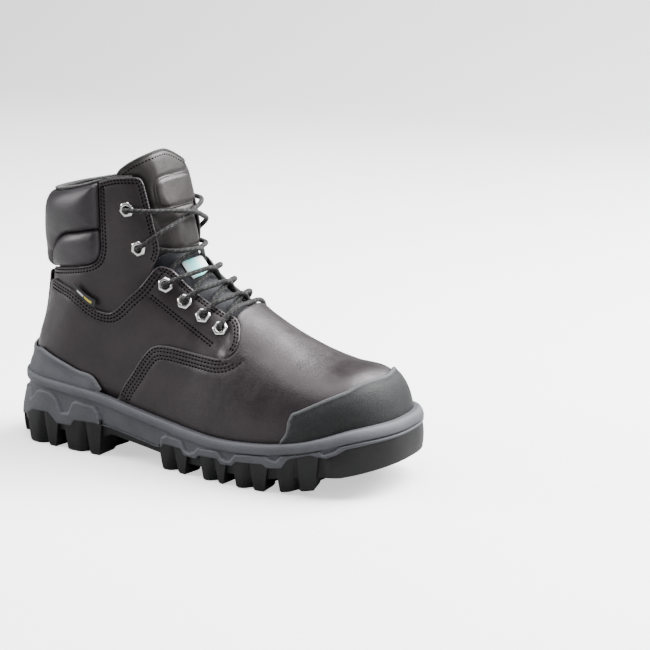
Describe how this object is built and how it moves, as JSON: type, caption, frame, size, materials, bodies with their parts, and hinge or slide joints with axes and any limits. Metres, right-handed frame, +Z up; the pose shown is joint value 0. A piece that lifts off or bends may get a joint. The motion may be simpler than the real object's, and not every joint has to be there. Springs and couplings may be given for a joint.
{
  "type": "steel toe work boot",
  "caption": "Laced ankle-high safety work boot for the right foot, with a steel toe cap, a rubber toe guard, a padded collar and a lugged rubber sole.",
  "frame": {"origin": "on the ground, in the middle of the heel tread", "axes": "+X to the toe, +Y to the inner (medial) side, +Z up"},
  "size_m": [0.3085, 0.1094, 0.2147],
  "materials": {
    "outsole_rubber": "matt moulded rubber",
    "midsole_rubber": "matt stippled rubber, mid grey",
    "guard_rubber": "matt stippled rubber, dark grey",
    "black_leather": "smooth full-grain leather, semi-satin",
    "pad_leather": "soft padded leather, semi-satin",
    "binding_tape": "woven edge tape",
    "lining_fabric": "knitted lining",
    "gusset_fabric": "woven nylon, navy black",
    "lace_cord": "braided round cord",
    "steel": "bare pressed steel",
    "nickel": "bright nickel plate",
    "fibre_board": "pressed fibre board",
    "footbed_foam": "fabric-topped foam",
    "label_tape": "printed woven label, plain colours",
    "tag_tape": "woven tag with plain bars",
    "aglet_plastic": "clear-coated lace tip"
  },
  "bodies": {
    "foot": {"outsole": "outsole_rubber", "midsole": "midsole_rubber", "steel_shank": "steel", "puncture_plate": "steel", "insole_board": "fibre_board", "footbed": "footbed_foam", "vamp": "black_leather", "lateral_quarter": "black_leather", "medial_quarter": "black_leather", "heel_clip": "midsole_rubber", "heel_counter": "fibre_board", "backstay": "black_leather", "lining": "lining_fabric", "tongue_gusset": "gusset_fabric", "tongue_label": "label_tape", "side_tag": "tag_tape", "lace": "lace_cord", "eyelet_lateral_1": "nickel", "eyelet_lateral_2": "nickel", "eyelet_lateral_3": "nickel", "eyelet_lateral_4": "nickel", "eyelet_medial_1": "nickel", "eyelet_medial_2": "nickel", "eyelet_medial_3": "nickel", "eyelet_medial_4": "nickel"},
    "toe": {"steel_toe_cap": "steel", "toe_guard": "guard_rubber"},
    "shaft": {"lateral_shaft": "black_leather", "medial_shaft": "black_leather", "collar_pad_lateral": "pad_leather", "collar_pad_medial": "pad_leather", "collar_pad_upper": "pad_leather", "collar_binding": "binding_tape", "aglet_lateral": "aglet_plastic", "aglet_medial": "aglet_plastic", "eyelet_lateral_5": "nickel", "eyelet_lateral_6": "nickel", "eyelet_medial_5": "nickel", "eyelet_medial_6": "nickel"},
    "tongue": {"tongue_pad": "pad_leather"}
  },
  "joints": [
    {"name": "toe_flex", "type": "hinge", "parent": "foot", "child": "toe", "pos_m": [0.165, 0, 0.024], "axis": [0, -1, 0], "range_deg": [0, 22], "deforming": ["outsole", "midsole", "vamp", "lining", "puncture_plate", "insole_board", "footbed"]},
    {"name": "ankle_flex", "type": "hinge", "parent": "foot", "child": "shaft", "pos_m": [0.052, 0, 0.104], "axis": [0, 1, 0], "range_deg": [-5, 14], "deforming": ["lateral_shaft", "medial_shaft", "backstay", "lace", "tongue_gusset"]},
    {"name": "tongue_fold", "type": "hinge", "parent": "shaft", "child": "tongue", "pos_m": [0.088, 0, 0.148], "axis": [0, 1, 0], "range_deg": [-15, 4]}
  ]
}
